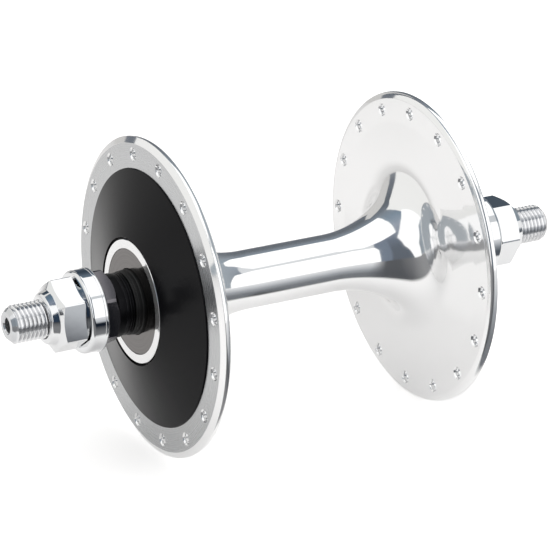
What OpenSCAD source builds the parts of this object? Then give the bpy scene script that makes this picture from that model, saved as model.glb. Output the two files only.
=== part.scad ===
// Front track hub with high flanges, loose ball bearings and a solid bolt-on axle.
// Sizes are in millimetres. The axle lies along Y and the middle of the hub is the origin.
// Both ends share one set of sections. A section is drawn as [radius, out], where out is
// the distance from the middle of the hub along the axle.

/* [Fork fit] */
// Distance over the two locknut faces, which is the inner width of the fork
over_locknuts = 100; // [90:1:130]
// Diameter of the axle over its thread crests
axle_d = 8.9; // [8.5:0.1:9.6]
// Length of the axle beyond each locknut face
axle_reach = 21; // [17:0.5:30]
// Chamfer on each end of the axle
axle_chamfer = 1.25; // [0.5:0.05:1.8]
// Diameter of the centre hole in each end of the axle
centre_hole_d = 3.5; // [2:0.1:4.2]
// Depth of the centre hole
centre_hole_depth = 6; // [3:0.5:10]
// Chamfer around the centre hole
centre_hole_chamfer = 0.35; // [0.1:0.05:0.5]

/* [Spoke flanges] */
// Number of spoke holes in each flange
spoke_count = 16; // [10:1:20]
// Diameter of the circle through the spoke holes
spoke_circle_d = 67; // [60:0.5:100]
// Diameter of a spoke hole
spoke_hole_d = 2.5; // [2:0.1:2.9]
// Countersink on both ends of a spoke hole
spoke_countersink = 0.35; // [0.1:0.05:0.5]
// Thickness of a flange at the spoke holes
flange_t = 2.6; // [2:0.1:3.6]
// Distance from the spoke circle to the rim of the flange
flange_edge = 4; // [3.4:0.1:7]
// Radial width of the bevels on the rim
rim_bevel_w = 1.5; // [0.6:0.1:1.9]
// Depth of the bevel on the outer side of the rim
rim_bevel_out = 0.8; // [0.3:0.1:1.1]
// Depth of the bevel on the inner side of the rim
rim_bevel_in = 0.6; // [0.3:0.1:0.9]
// Angle of the left flange's first spoke hole from straight up, towards the front
left_spoke_angle = 11.25; // [0:0.25:45]
// Angle of the right flange's first spoke hole from straight up, towards the front
right_spoke_angle = 0; // [0:0.25:45]

/* [Barrel] */
// Diameter of the barrel in the middle
barrel_d = 13.8; // [12.4:0.1:18]
// Radius of the long swell from the barrel towards a flange
flare_r = 29; // [25:0.5:45]
// Length of the long swell along the axle
flare_len = 16.5; // [12:0.5:19]
// Distance along the axle from the end of the swell to the inner face of the flange
root_len = 5.7; // [4:0.1:8]
// Slope of the web between the barrel's root and the spoke holes
web_slope = 3; // [0:0.5:6]
// Distance from the spoke circle inwards to the edge of the web
web_margin = 3; // [2.2:0.1:5]
// Gap between the axle and the bore through the barrel
core_gap = 0.85; // [0.5:0.05:1.2]

/* [Flange covers] */
// Distance from the spoke circle inwards to the edge of the cover
cover_margin = 3.3; // [2.4:0.1:6]
// Thickness of the cover along the axle
cover_t = 1.4; // [1.2:0.1:2]
// Height of the cover's outer edge above the flange face
cover_proud = 0.3; // [0:0.05:0.6]
// Height of the cover's inner edge above the boss face
cover_rise = 0.1; // [-0.5:0.05:0.3]
// Width of the groove between the cover and the boss
groove_w = 0.48; // [0.3:0.02:1]
// Depth of the groove between the cover and the boss
groove_depth = 1; // [0.4:0.1:1.1]

/* [Bearings] */
// Diameter of a ball
ball_d = 4.76; // [4.4:0.02:5.2]
// Number of balls in a bearing
ball_count = 10; // [10:1:14]
// Gap between neighbouring balls along the ball circle
ball_gap = 0.43; // [0.1:0.01:0.8]
// Gap between a ball and its races
race_play = 0.05; // [0.02:0.01:0.1]
// Wall of the cup around the race
cup_wall = 1.3; // [0.8:0.1:2.5]
// Overlap of the cup's throat under the balls
cup_throat = 1; // [0.5:0.1:1.6]
// Wall of the boss around the cup
boss_wall = 2.35; // [1.6:0.05:4]
// Height of the boss face above the flange face
boss_rise = 4.2; // [3.4:0.1:6]
// Chamfer on the edges of the boss
boss_chamfer = 0.2; // [0.1:0.05:0.5]
// Gap between the balls and the dust cap
cap_clear = 0.52; // [0.3:0.01:1]
// Thickness of the dust cap
cap_t = 1; // [0.6:0.1:1.5]
// Depth of the dust cap's face below the boss face
cap_recess = 0.1; // [0:0.05:0.5]
// Overlap of the dust cap over the cup's outer edge
cap_lap = 0.2; // [0.1:0.05:0.6]

/* [Cones and locknuts] */
// Length of the cone's nose inside the ball circle
nose_len = 1.4; // [1:0.1:3]
// Height of the cone's race above its nose
cone_lip = 1; // [0.6:0.05:1.4]
// Gap between the cone and the hole in the dust cap
cap_hole_gap = 0.7; // [0.4:0.05:1.2]
// Length of the seal that shows beyond the boss face
seal_show = 2.2; // [1:0.1:4]
// Length of the seal inside the hole of the dust cap
seal_entry = 0.6; // [0.2:0.1:0.8]
// Depth of the groove in the cone that holds the seal
seal_groove = 0.8; // [0.4:0.1:1.2]
// Length of the thinner outer end of the seal
seal_step_len = 0.8; // [0.4:0.1:1.5]
// Length of the cone's shoulder
shoulder_t = 2.3; // [1.6:0.1:5]
// Height of the shoulder above the cone
shoulder_rise = 0.2; // [0.1:0.05:0.6]
// Width and depth of the two fine grooves in the shoulder
shoulder_groove = 0.2; // [0.1:0.05:0.25]
// Diameter of the lock washer
lock_washer_d = 14.8; // [13:0.1:16]
// Thickness of the lock washer
lock_washer_t = 1.9; // [1:0.1:4]
// Size of the locknut across its flats
locknut_flats = 16; // [14.5:0.5:18]
// Thickness of the locknut
locknut_t = 3.6; // [2.5:0.1:6]
// Depth of the corner rounding of the locknut
locknut_corner = 0.2; // [0.05:0.05:0.4]
// Angle of a locknut corner from straight up, towards the front
locknut_angle = 0; // [0:1:59]

/* [Axle nuts] */
// Diameter of the captive washer
nut_washer_d = 19.3; // [18:0.1:24]
// Thickness of the captive washer
nut_washer_t = 4.2; // [3.6:0.1:6]
// Length of the lip at the back of the captive washer
washer_lip_len = 0.85; // [0.4:0.05:1.2]
// Height of the lip above the rest of the captive washer
washer_lip_rise = 0.1; // [0.05:0.05:0.4]
// Radius of the captive washer's front edge
washer_round = 0.85; // [0.4:0.05:1.1]
// Size of the axle nut across its flats
nut_flats = 15; // [14:0.5:19]
// Depth of the corner rounding of the axle nut
nut_corner = 0.1; // [0.05:0.05:0.3]
// Length of the axle nut's hexagon
nut_hex_len = 5.95; // [5:0.05:10]
// Slope of the axle nut's front towards its corners
nut_front_slope = 24; // [10:1:35]
// Length of the nose on the axle nut's front
nut_nose_len = 2; // [1:0.1:4]
// Wall of the nose at its base
nut_nose_base = 2; // [1.6:0.05:2.6]
// Wall of the nose where its front chamfer starts
nut_nose_tip = 1.1; // [0.5:0.05:1.5]
// Length of the chamfer on the front of the nose
nut_nose_chamfer = 0.5; // [0.2:0.05:0.8]
// Length of the neck that shows between the nut and its washer
nut_neck = 0.45; // [0.1:0.05:0.8]
// Wall of the nut's sleeve inside the washer
sleeve_wall = 1.7; // [1.2:0.1:2.2]
// Width of the collar that keeps the washer on the sleeve
collar_w = 0.6; // [0.3:0.1:0.9]
// Thickness of that collar
collar_t = 0.8; // [0.5:0.1:1]
// Angle of a left axle nut corner from straight up, towards the front
left_nut_angle = -5; // [-30:1:30]
// Angle of a right axle nut corner from straight up, towards the front
right_nut_angle = 29; // [0:1:59]

/* [Fits] */
// Gap between the thread crests and the parts screwed on the axle
thread_gap = 0.05; // [0.02:0.01:0.1]
// Gap around parts pressed into the shell or onto a cone
press_gap = 0.02; // [0.01:0.01:0.05]
// Gap between parts that turn against each other
running_gap = 0.1; // [0.05:0.01:0.15]
// Small chamfer that breaks a sharp edge
edge_break = 0.2; // [0.05:0.05:0.25]

/* [Hidden] */
$fn = 120;
left = -1;
right = 1;

// Places along the axle, worked inwards from the locknut face
locknut_out = over_locknuts / 2;
locknut_in = locknut_out - locknut_t;
shoulder_out = locknut_in - lock_washer_t;
seal_out = shoulder_out - shoulder_t;
boss_out = seal_out - seal_show;
cap_out = boss_out - cap_recess;
cap_in = cap_out - cap_t;
seal_in = cap_out - seal_entry;
ball_out = cap_in - cap_clear - ball_d / 2;
cup_in = ball_out - ball_d / 2 - cup_wall;
flange_out = boss_out - boss_rise;
flange_in = flange_out - flange_t;
axle_out = locknut_out + axle_reach;

// Radii, worked outwards from the axle
axle_r = axle_d / 2;
thread_r = axle_r + thread_gap;
core_r = axle_r + core_gap;
barrel_r = barrel_d / 2;
race_r = ball_d / 2 + race_play;
ball_circle_r = (ball_d + ball_gap) / (2 * sin(180 / ball_count));
// The race dips this far below the nose and the mouth, so that it starts on a clean edge
race_dip = 0.05;
nose_r = ball_circle_r - race_r + race_dip;
mouth_r = ball_circle_r + race_r - race_dip;
cone_r = nose_r + cone_lip;
throat_r = ball_circle_r - cup_throat;
cup_r = mouth_r + race_dip + cup_wall;
cap_r = cup_r + cap_lap;
cap_hole_r = cone_r + cap_hole_gap;
boss_r = cup_r + boss_wall;
cover_in_r = boss_r + groove_w;
spoke_circle_r = spoke_circle_d / 2;
cover_r = spoke_circle_r - cover_margin;
web_r = spoke_circle_r - web_margin;
flange_r = spoke_circle_r + flange_edge;

// Cover face, a shallow cone from the outer edge up to the groove
cover_edge_out = flange_out + cover_proud;
cover_top_out = boss_out + cover_rise;
function cover_face(r) =
    cover_edge_out + (cover_top_out - cover_edge_out) * (cover_r - r) / (cover_r - cover_in_r);

// Barrel outline: a long swell, then a tighter root that is tangent to it and to the web
flare_end = flange_in - root_len;
flare_start = flare_end - flare_len;
flare_angle = asin(flare_len / flare_r);
flare_end_r = barrel_r + flare_r * (1 - cos(flare_angle));
root_r = (root_len * cos(web_slope) - (web_r - flare_end_r) * sin(web_slope))
    / (1 - sin(flare_angle + web_slope));
root_centre = [flare_end_r + root_r * cos(flare_angle), flare_end - root_r * sin(flare_angle)];

// Points of an arc around a centre, with angles measured from the radial direction
function arc(centre, r, from, to, steps) =
    [for (i = [0:steps]) let (a = from + (to - from) * i / steps)
        centre + r * [cos(a), sin(a)]];

// Turns a section or a solid that points along Z so that it points out along the axle
module outward(side) {
    rotate([-90 * side, 0, 0]) children();
}

// Turns a hexagon corner or a hole on X to an angle from straight up, towards the front
module clocked(side, angle) {
    rotate([0, 0, side * (angle - 90)]) children();
}

// A ring of one bore and one outer radius with both outer edges broken
module plain_ring(bore, r, inner, outer, chamfer) {
    rotate_extrude()
        polygon([
            [bore, inner], [r - chamfer, inner], [r, inner + chamfer],
            [r, outer - chamfer], [r - chamfer, outer], [bore, outer],
        ]);
}

// One half of the shell's section, from the barrel out to the boss and back along the bore
function shell_half() =
    let (
        cup_seat_r = cup_r + press_gap,
        cap_seat_r = cap_r + press_gap,
        cover_seat_r = cover_r + press_gap
    )
    concat(
        arc([barrel_r + flare_r, flare_start], flare_r, 180, 180 - flare_angle, 24),
        arc(root_centre, root_r, 180 - flare_angle, 90 + web_slope, 24),
        [
            [web_r, flange_in],
            [flange_r - rim_bevel_w, flange_in],
            [flange_r, flange_in + rim_bevel_in],
            [flange_r, flange_out - rim_bevel_out],
            [flange_r - rim_bevel_w, flange_out],
            [cover_seat_r, flange_out],
            [cover_seat_r, cover_face(cover_seat_r) - cover_t - press_gap],
            [boss_r, cover_face(boss_r) - cover_t - press_gap],
            [boss_r, boss_out - boss_chamfer],
            [boss_r - boss_chamfer, boss_out],
            [cap_seat_r, boss_out],
            [cap_seat_r, cap_in],
            [cup_seat_r, cap_in],
            [cup_seat_r, cup_in],
            [core_r, cup_in],
        ]
    );

// The same points on the other side of the middle, in the reverse order
function mirrored(points) =
    [for (i = [len(points) - 1:-1:0]) [points[i][0], -points[i][1]]];

// A spoke hole through a flange, with a countersink on both faces
module spoke_hole() {
    hole_r = spoke_hole_d / 2;
    wide_r = hole_r + spoke_countersink;
    translate([spoke_circle_r, 0, flange_in]) {
        translate([0, 0, -1]) cylinder(h = flange_t + 2, r = hole_r);
        cylinder(h = spoke_countersink, r1 = wide_r, r2 = hole_r);
        translate([0, 0, flange_t - spoke_countersink])
            cylinder(h = spoke_countersink, r1 = hole_r, r2 = wide_r);
    }
}

module spoke_holes(side, first_angle) {
    outward(side)
        for (i = [0:spoke_count - 1])
            clocked(side, first_angle + i * 360 / spoke_count) spoke_hole();
}

module hub_shell() {
    color([0.84, 0.85, 0.87])
    difference() {
        outward(right)
            rotate_extrude() polygon(concat(shell_half(), mirrored(shell_half())));
        spoke_holes(left, left_spoke_angle);
        spoke_holes(right, right_spoke_angle);
    }
}

module flange_cover(side) {
    lip_r = boss_r + press_gap;
    color([0.16, 0.16, 0.17])
    outward(side)
        rotate_extrude()
            polygon([
                [lip_r, cover_face(lip_r) - cover_t],
                [cover_r, cover_edge_out - cover_t],
                [cover_r, cover_edge_out - edge_break],
                [cover_r - edge_break, cover_face(cover_r - edge_break)],
                [cover_in_r, cover_top_out],
                [cover_in_r, cover_face(cover_in_r) - groove_depth],
                [lip_r, cover_face(lip_r) - groove_depth],
            ]);
}

module race() {
    translate([ball_circle_r, ball_out]) circle(r = race_r);
}

module bearing_cup(side) {
    color([0.62, 0.63, 0.66])
    outward(side)
        rotate_extrude()
            difference() {
                polygon([
                    [throat_r, cup_in], [cup_r, cup_in], [cup_r, cap_in],
                    [mouth_r, cap_in], [mouth_r, ball_out], [throat_r, ball_out],
                ]);
                race();
            }
}

module dust_cap(side) {
    color([0.46, 0.47, 0.48])
    outward(side)
        rotate_extrude()
            polygon([
                [cap_hole_r, cap_in], [cap_r, cap_in], [cap_r, cap_out - edge_break],
                [cap_r - edge_break, cap_out], [cap_hole_r, cap_out],
            ]);
}

module ball_set(side) {
    color([0.75, 0.76, 0.78])
    outward(side)
        for (i = [0:ball_count - 1])
            rotate([0, 0, i * 360 / ball_count])
                translate([ball_circle_r, 0, ball_out]) sphere(d = ball_d);
}

// A small square groove cut into the shoulder, with its middle at a given place
module shoulder_cut(out) {
    translate([cone_r + shoulder_rise - shoulder_groove, out - shoulder_groove / 2])
        square([shoulder_groove * 2, shoulder_groove]);
}

module cone(side) {
    seat_r = cone_r - seal_groove;
    shoulder_r = cone_r + shoulder_rise;
    step_out = seal_out + shoulder_t / 4;
    color([0.14, 0.14, 0.15])
    outward(side)
        rotate_extrude()
            difference() {
                polygon([
                    [thread_r, ball_out - nose_len], [nose_r, ball_out - nose_len],
                    [nose_r, ball_out], [cone_r, ball_out], [cone_r, seal_in],
                    [seat_r, seal_in], [seat_r, seal_out], [cone_r, seal_out],
                    [cone_r, step_out], [shoulder_r, step_out],
                    [shoulder_r, shoulder_out - edge_break],
                    [shoulder_r - edge_break, shoulder_out], [thread_r, shoulder_out],
                ]);
                race();
                shoulder_cut(seal_out + shoulder_t * 0.4);
                shoulder_cut(seal_out + shoulder_t * 0.65);
            }
}

module seal(side) {
    bore = cone_r - seal_groove + press_gap;
    r = cap_hole_r - running_gap;
    step_out = seal_out - seal_step_len;
    color([0.09, 0.09, 0.1])
    outward(side)
        rotate_extrude()
            polygon([
                [bore, seal_in], [r, seal_in], [r, step_out],
                [r - edge_break, step_out], [r - edge_break, seal_out], [bore, seal_out],
            ]);
}

module lock_washer(side) {
    color([0.2, 0.2, 0.21])
    outward(side)
        plain_ring(thread_r, lock_washer_d / 2, shoulder_out, locknut_in, edge_break);
}

// A hexagon of a given size across its flats, with one corner at an angle
module hexagon(side, flats, angle, inner, outer) {
    clocked(side, angle)
        translate([0, 0, inner])
            cylinder(h = outer - inner, r = flats / 2 / cos(30), $fn = 6);
}

module locknut(side) {
    corner_r = locknut_flats / 2 / cos(30) - locknut_corner;
    face_r = locknut_flats / 2 - edge_break;
    taper = (corner_r - face_r) * tan(40);
    color([0.13, 0.13, 0.14])
    outward(side)
        intersection() {
            hexagon(side, locknut_flats, locknut_angle, locknut_in, locknut_out);
            rotate_extrude()
                polygon([
                    [thread_r, locknut_in], [face_r, locknut_in],
                    [corner_r, locknut_in + taper], [corner_r, locknut_out - edge_break],
                    [corner_r - edge_break, locknut_out], [thread_r, locknut_out],
                ]);
        }
}

module axle() {
    hole_r = centre_hole_d / 2;
    wide_r = hole_r + centre_hole_chamfer;
    color([0.72, 0.73, 0.75])
    difference() {
        outward(right)
            translate([0, 0, -axle_out])
                plain_ring(0, axle_r, 0, axle_out * 2, axle_chamfer);
        for (side = [left, right])
            outward(side) translate([0, 0, axle_out]) {
                translate([0, 0, -centre_hole_depth])
                    cylinder(h = centre_hole_depth + 1, r = hole_r);
                translate([0, 0, -centre_hole_depth - hole_r / 2])
                    cylinder(h = hole_r / 2, r1 = 0, r2 = hole_r);
                translate([0, 0, -centre_hole_chamfer])
                    cylinder(h = centre_hole_chamfer, r1 = hole_r, r2 = wide_r);
            }
    }
}

// Places and radii that the axle nut and its captive washer share
sleeve_r = thread_r + sleeve_wall;
collar_r = sleeve_r + collar_w;
collar_in = locknut_out + running_gap * 2;
collar_seat = collar_in + collar_t + running_gap;
nut_washer_out = locknut_out + nut_washer_t;
hex_in = nut_washer_out + nut_neck;
hex_out = hex_in + nut_hex_len;

module nut_washer(side) {
    bore = sleeve_r + running_gap;
    collar_bore = collar_r + running_gap;
    lip_r = nut_washer_d / 2 + washer_lip_rise;
    r = nut_washer_d / 2;
    lip_out = locknut_out + washer_lip_len;
    color([0.86, 0.87, 0.89])
    outward(side)
        rotate_extrude()
            polygon(concat(
                [
                    [collar_bore, locknut_out], [lip_r - edge_break, locknut_out],
                    [lip_r, locknut_out + edge_break], [lip_r, lip_out], [r, lip_out],
                ],
                arc([r - washer_round, nut_washer_out - washer_round], washer_round, 0, 90, 8),
                [[bore, nut_washer_out], [bore, collar_seat], [collar_bore, collar_seat]]
            ));
}

module axle_nut(side, angle) {
    corner_r = nut_flats / 2 / cos(30) - nut_corner;
    neck_in = nut_washer_out + running_gap / 2;
    neck_r = sleeve_r + collar_w;
    nose_r = thread_r + nut_nose_base;
    nose_out = hex_out + nut_nose_len;
    front_drop = (corner_r - nose_r) * tan(nut_front_slope);
    color([0.86, 0.87, 0.89])
    outward(side)
        difference() {
            rotate_extrude()
                polygon([
                    [thread_r, collar_in], [collar_r - edge_break, collar_in],
                    [collar_r, collar_in + edge_break], [collar_r, collar_in + collar_t],
                    [sleeve_r, collar_in + collar_t], [sleeve_r, neck_in],
                    [neck_r, neck_in], [neck_r, hex_in],
                    [corner_r - edge_break, hex_in], [corner_r, hex_in + edge_break],
                    [corner_r, hex_out - front_drop], [nose_r, hex_out],
                    [thread_r + nut_nose_tip, nose_out - nut_nose_chamfer],
                    [thread_r + edge_break, nose_out], [thread_r, nose_out - edge_break],
                ]);
            difference() {
                translate([0, 0, hex_in - nut_neck / 2])
                    cylinder(h = nut_hex_len + nut_neck / 2, r = nut_flats);
                hexagon(side, nut_flats, angle, hex_in - 1, hex_out + 1);
            }
        }
}

hub_shell();
flange_cover(left);  // left_flange_cover
flange_cover(right);  // right_flange_cover
bearing_cup(left);  // left_bearing_cup
bearing_cup(right);  // right_bearing_cup
dust_cap(left);  // left_dust_cap
dust_cap(right);  // right_dust_cap
ball_set(left);  // left_ball_set
ball_set(right);  // right_ball_set
cone(left);  // left_cone
cone(right);  // right_cone
seal(left);  // left_seal
seal(right);  // right_seal
lock_washer(left);  // left_lock_washer
lock_washer(right);  // right_lock_washer
locknut(left);  // left_locknut
locknut(right);  // right_locknut
axle();
nut_washer(left);  // left_nut_washer
nut_washer(right);  // right_nut_washer
axle_nut(left, left_nut_angle);  // left_axle_nut
axle_nut(right, right_nut_angle);  // right_axle_nut
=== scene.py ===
# %% [markdown]
# # A front track hub
# The hub of a track bicycle's front wheel: a mirror-polished aluminium shell with two drilled
# flanges, black covers on the flanges, a threaded axle, black locknuts, and chrome nuts that
# each carry a captive washer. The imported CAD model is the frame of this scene. Blender adds
# the finish of every surface, and rebuilds the pieces whose looks need more than the CAD has.

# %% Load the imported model
import math

import bmesh
import bpy
from mathutils import Matrix, Vector


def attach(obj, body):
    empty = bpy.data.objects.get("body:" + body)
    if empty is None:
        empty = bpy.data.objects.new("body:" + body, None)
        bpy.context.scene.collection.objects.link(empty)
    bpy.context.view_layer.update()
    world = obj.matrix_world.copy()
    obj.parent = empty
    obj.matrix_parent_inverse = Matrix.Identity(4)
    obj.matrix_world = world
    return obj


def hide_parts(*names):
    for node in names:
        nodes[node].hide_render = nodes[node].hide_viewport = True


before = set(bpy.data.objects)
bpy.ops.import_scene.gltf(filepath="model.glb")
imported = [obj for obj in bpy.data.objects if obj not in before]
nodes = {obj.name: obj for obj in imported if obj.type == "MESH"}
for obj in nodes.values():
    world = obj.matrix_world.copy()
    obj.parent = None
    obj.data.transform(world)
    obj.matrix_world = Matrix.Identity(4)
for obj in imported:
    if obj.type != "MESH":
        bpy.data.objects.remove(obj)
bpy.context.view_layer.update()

# %% [markdown]
# ## Units and directions
# Sizes are written in millimetres and become metres in one place. The axle lies along Y, so a
# place on a turned piece needs only two numbers: its radius, and how far out it is from the
# middle of the hub. The left end is the one at -Y.

# %% Units and ends
MM = 0.001
LEFT, RIGHT = -1, 1
SIDES = {"left": LEFT, "right": RIGHT}
AXLE = Vector((0, 1, 0))
print("a millimetre is", MM, "metres, and the ends lie at", SIDES)

# %% [markdown]
# ## Camera
# The photograph was taken from the front, a little above the hub and well to its left. Its lens
# and place were fitted to the rims, hole circles and axle ends, so the render has the same
# perspective. Three directions turn the camera: where its right, its up and its back point.

# %% Camera at the photograph's place
camera = bpy.data.objects.new("camera", bpy.data.cameras.new("camera"))
bpy.context.scene.collection.objects.link(camera)
camera.data.lens = 200.35
camera.data.sensor_width = 36
camera.data.clip_start = 10 * MM
camera_place = Vector((586.5, -320.1, 258.1)) * MM
to_right = Vector((0.47595, 0.87947, 0))
to_up = Vector((-0.31784, 0.17202, 0.9324))
to_back = Vector((0.82002, -0.44378, 0.3614))
turn = Matrix((to_right, to_up, to_back)).transposed().to_4x4()
camera.matrix_world = Matrix.Translation(camera_place) @ turn
bpy.context.scene.camera = camera
print("camera is", round(camera_place.length / MM), "mm from the hub's middle")

# %% [markdown]
# ## View settings
# The Standard view transform shows a colour as it is written.

# %% Plain view settings
bpy.context.scene.view_settings.view_transform = "Standard"
print("view transform:", bpy.context.scene.view_settings.view_transform)

# %% [markdown]
# ## Helpers for materials
# A colour is written as a hex value, as in a paint program, and has to be made linear before
# a shader reads it. Nodes are added by one function that sets a node and links it in one go.
# Two more blend a pair of colours and spread a range of values over another one.
# The scale of a pattern is how many of its grains fit in a metre, so it is written as so many
# in a millimetre, divided by MM.

# %% Colour and node helpers
def colour(hex_value):
    """A hex colour as linear red, green, blue and alpha."""
    parts = [int(hex_value[i:i + 2], 16) / 255 for i in (1, 3, 5)]
    return [c / 12.92 if c <= 0.04045 else ((c + 0.055) / 1.055) ** 2.4 for c in parts] + [1]


def add(tree, kind, inputs=None, **settings):
    """Adds a node. An input is a value, an output to link, or a node to link by its first output."""
    made = tree.nodes.new("ShaderNode" + kind)
    for key, value in settings.items():
        setattr(made, key, value)
    for socket, value in (inputs or {}).items():
        if isinstance(value, bpy.types.Node):
            value = value.outputs[0]
        if isinstance(value, bpy.types.NodeSocket):
            tree.links.new(value, made.inputs[socket])
        else:
            made.inputs[socket].default_value = value
    return made


def blend(tree, share, first, second):
    """A colour between two, by the share of the second."""
    return add(tree, "MixRGB", {"Fac": share, "Color1": first, "Color2": second})


def spread(tree, value, start, end, low=0, high=1):
    """Spreads the values from start to end over those from low to high."""
    return add(tree, "MapRange", {"Value": value, "From Min": start, "From Max": end,
                                  "To Min": low, "To Max": high})


def new_material(name):
    """An empty material and its node tree."""
    material = bpy.data.materials.new(name)
    material.use_nodes = True
    material.node_tree.nodes.clear()
    print("material", name)
    return material, material.node_tree

# %% [markdown]
# ## Mirror-polished aluminium
# The shell is turned from aluminium and buffed until it mirrors the room. Buffing leaves very
# fine lines round the barrel and a faint haze, so the roughness is low and changes a little
# from place to place. About an eighth of the light is scattered instead of mirrored, which
# lifts the dark reflections as the haze does. The lines are drawn 0.4 mm apart, far coarser
# than real ones, because finer ones would not show.

# %% Material of the shell
polished, tree = new_material("aluminium_mirror_polished")
place = add(tree, "TexCoord").outputs["Object"]
haze = add(tree, "TexNoise", {"Vector": place, "Scale": 0.09 / MM, "Detail": 3, "Roughness": 0.6})
rough = spread(tree, haze, 0.3, 0.7, 0.06, 0.085)
stretch = add(tree, "Mapping", {"Vector": place, "Scale": (0.06 / MM, 2.5 / MM, 0.06 / MM)})
lines = add(tree, "TexNoise", {"Vector": stretch, "Scale": 1, "Detail": 2})
bump = add(tree, "Bump", {"Height": lines, "Strength": 0.02, "Distance": 0.02 * MM})
shader = add(tree, "BsdfPrincipled", {"Base Color": colour("#F5F5F5"), "Metallic": 0.87,
                                      "Roughness": rough, "Normal": bump})
add(tree, "OutputMaterial", {"Surface": shader})

# %% [markdown]
# ## The rings of a lathe tool
# A tool that faces a disc leaves fine rings round its middle. Their tone and roughness change
# with the radius alone, so the pattern is noise in one dimension, read at the distance from the
# axle. The rings stretch a highlight across them, which the shader's anisotropy draws: its
# tangent points away from the axle. One function makes every finish of this kind.

# %% Turned finishes
def turned_finish(name, rings_in_mm, detail, tones, roughness, surface):
    """A faced surface with rings between two tones and two roughnesses, and the surface's own values."""
    material, tree = new_material(name)
    at = add(tree, "TexCoord").outputs["Object"]
    flat = add(tree, "VectorMath", {0: at, 1: (1, 0, 1)}, operation="MULTIPLY")
    radius = add(tree, "VectorMath", {0: flat}, operation="LENGTH").outputs["Value"]
    away = add(tree, "VectorMath", {0: flat}, operation="NORMALIZE")
    rings = add(tree, "TexNoise", {"W": radius, "Scale": rings_in_mm / MM, "Detail": detail},
                noise_dimensions="1D")
    ring_tone = blend(tree, rings, colour(tones[0]), colour(tones[1]))
    ring_rough = spread(tree, rings, 0, 1, roughness[0], roughness[1])
    turned = add(tree, "BsdfPrincipled", {"Base Color": ring_tone, "Roughness": ring_rough,
                                          "Tangent": away, **surface})
    add(tree, "OutputMaterial", {"Surface": turned})
    return material

# %% [markdown]
# ## Satin-turned aluminium
# The outer faces of the flanges keep the rings of the lathe tool, about three in a millimetre,
# so they look grey and silky beside the mirror of the barrel.

# %% Material of the flange's outer face
satin = turned_finish("aluminium_turned_satin", 3, 2, ("#BDBEBF", "#C7C8C9"), (0.22, 0.32),
                      {"Metallic": 1.0, "Anisotropic": 0.4})

# %% [markdown]
# ## Black anodised aluminium
# The covers are turned aluminium with a dyed black oxide layer. The layer hides the metal, so it
# is shaded as a dark coating: nearly black when seen straight on, with a soft shine where it is
# seen at a low angle. A low index of refraction keeps that shine as faint as on the real cover.

# %% Material of the flange covers
black = turned_finish("aluminium_anodised_black", 2.5, 3, ("#0A0A0C", "#111114"), (0.14, 0.2),
                      {"IOR": 1.2, "Anisotropic": 0.3})

# %% [markdown]
# ## Grey anodised aluminium
# The dust cap inside the boss has a mid-grey anodised face, turned as finely as the covers. Its
# layer is thin, so it still shines as a metal.

# %% Material of the dust caps
grey = turned_finish("aluminium_anodised_grey", 2.5, 3, ("#625F5E", "#7A7775"), (0.1, 0.18),
                     {"Metallic": 1.0, "Anisotropic": 0.3})

# %% [markdown]
# ## Moulded rubber
# The seal is moulded nitrile rubber: nearly black, matt, with the fine grain of its mould.

# %% Material of the seals
rubber, tree = new_material("rubber_moulded")
place = add(tree, "TexCoord").outputs["Object"]
grain = add(tree, "TexNoise", {"Vector": place, "Scale": 2.5 / MM, "Detail": 3})
tone = blend(tree, grain, colour("#060606"), colour("#0C0C0C"))
bump = add(tree, "Bump", {"Height": grain, "Strength": 0.3, "Distance": 0.04 * MM})
shader = add(tree, "BsdfPrincipled", {"Base Color": tone, "Roughness": 0.42, "IOR": 1.4, "Normal": bump})
add(tree, "OutputMaterial", {"Surface": shader})

# %% [markdown]
# ## Black steel
# The locknuts are machined steel, blackened in a hot salt bath. The oxide is thin, so the metal
# shines through it with a warm grey sheen. Cones and lock washers are hardened first and keep a
# scale, so they are darker and duller. One function makes both from two tones and two
# roughnesses, in patches about 3 mm wide.

# %% Materials of the locknuts and the cones
def black_steel(name, dark, light, least_rough, most_rough):
    """Blackened steel whose tone and polish change a little from place to place."""
    material, tree = new_material(name)
    at = add(tree, "TexCoord").outputs["Object"]
    patches = add(tree, "TexNoise", {"Vector": at, "Scale": 0.35 / MM, "Detail": 4, "Roughness": 0.6})
    steel_tone = blend(tree, patches, colour(dark), colour(light))
    steel_rough = spread(tree, patches, 0.3, 0.7, least_rough, most_rough)
    steel = add(tree, "BsdfPrincipled", {"Base Color": steel_tone, "Metallic": 1.0, "Roughness": steel_rough})
    add(tree, "OutputMaterial", {"Surface": steel})
    return material


oxide = black_steel("steel_black_oxide", "#68666A", "#757377", 0.14, 0.2)
scale = black_steel("steel_hardened_black", "#1F1F21", "#2A2A2C", 0.26, 0.34)

# %% [markdown]
# ## Zinc-plated steel
# The axle's thread is rolled into steel bar and zinc plated. The plate is bright but slightly
# milky, because it scatters a part of the light. Shade is painted into the roots of the thread:
# the tone follows the radius, darker at the root and lighter at the crest. The roughness changes
# in patches of 2 mm.

# %% Material of the axle
zinc, tree = new_material("steel_zinc_plated")
place = add(tree, "TexCoord").outputs["Object"]
flat = add(tree, "VectorMath", {0: place, 1: (1, 0, 1)}, operation="MULTIPLY")
radius = add(tree, "VectorMath", {0: flat}, operation="LENGTH").outputs["Value"]
# Painted shade in the roots of the thread: the tone is darker towards the root radius.
painted_root_shade = spread(tree, radius, 3.85 * MM, 4.4 * MM)
patches = add(tree, "TexNoise", {"Vector": place, "Scale": 0.5 / MM, "Detail": 3})
tone = blend(tree, painted_root_shade, colour("#D2D3D5"), colour("#F4F4F5"))
rough = spread(tree, patches, 0, 1, 0.08, 0.14)
shader = add(tree, "BsdfPrincipled", {"Base Color": tone, "Metallic": 0.87, "Roughness": rough})
add(tree, "OutputMaterial", {"Surface": shader})

# %% [markdown]
# ## Polished chrome plate
# Nuts and captive washers are chrome plated over polished steel: a clean, slightly dark mirror
# with the faintest waviness, about 5 mm from wave to wave, from the polishing under the plate.

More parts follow.
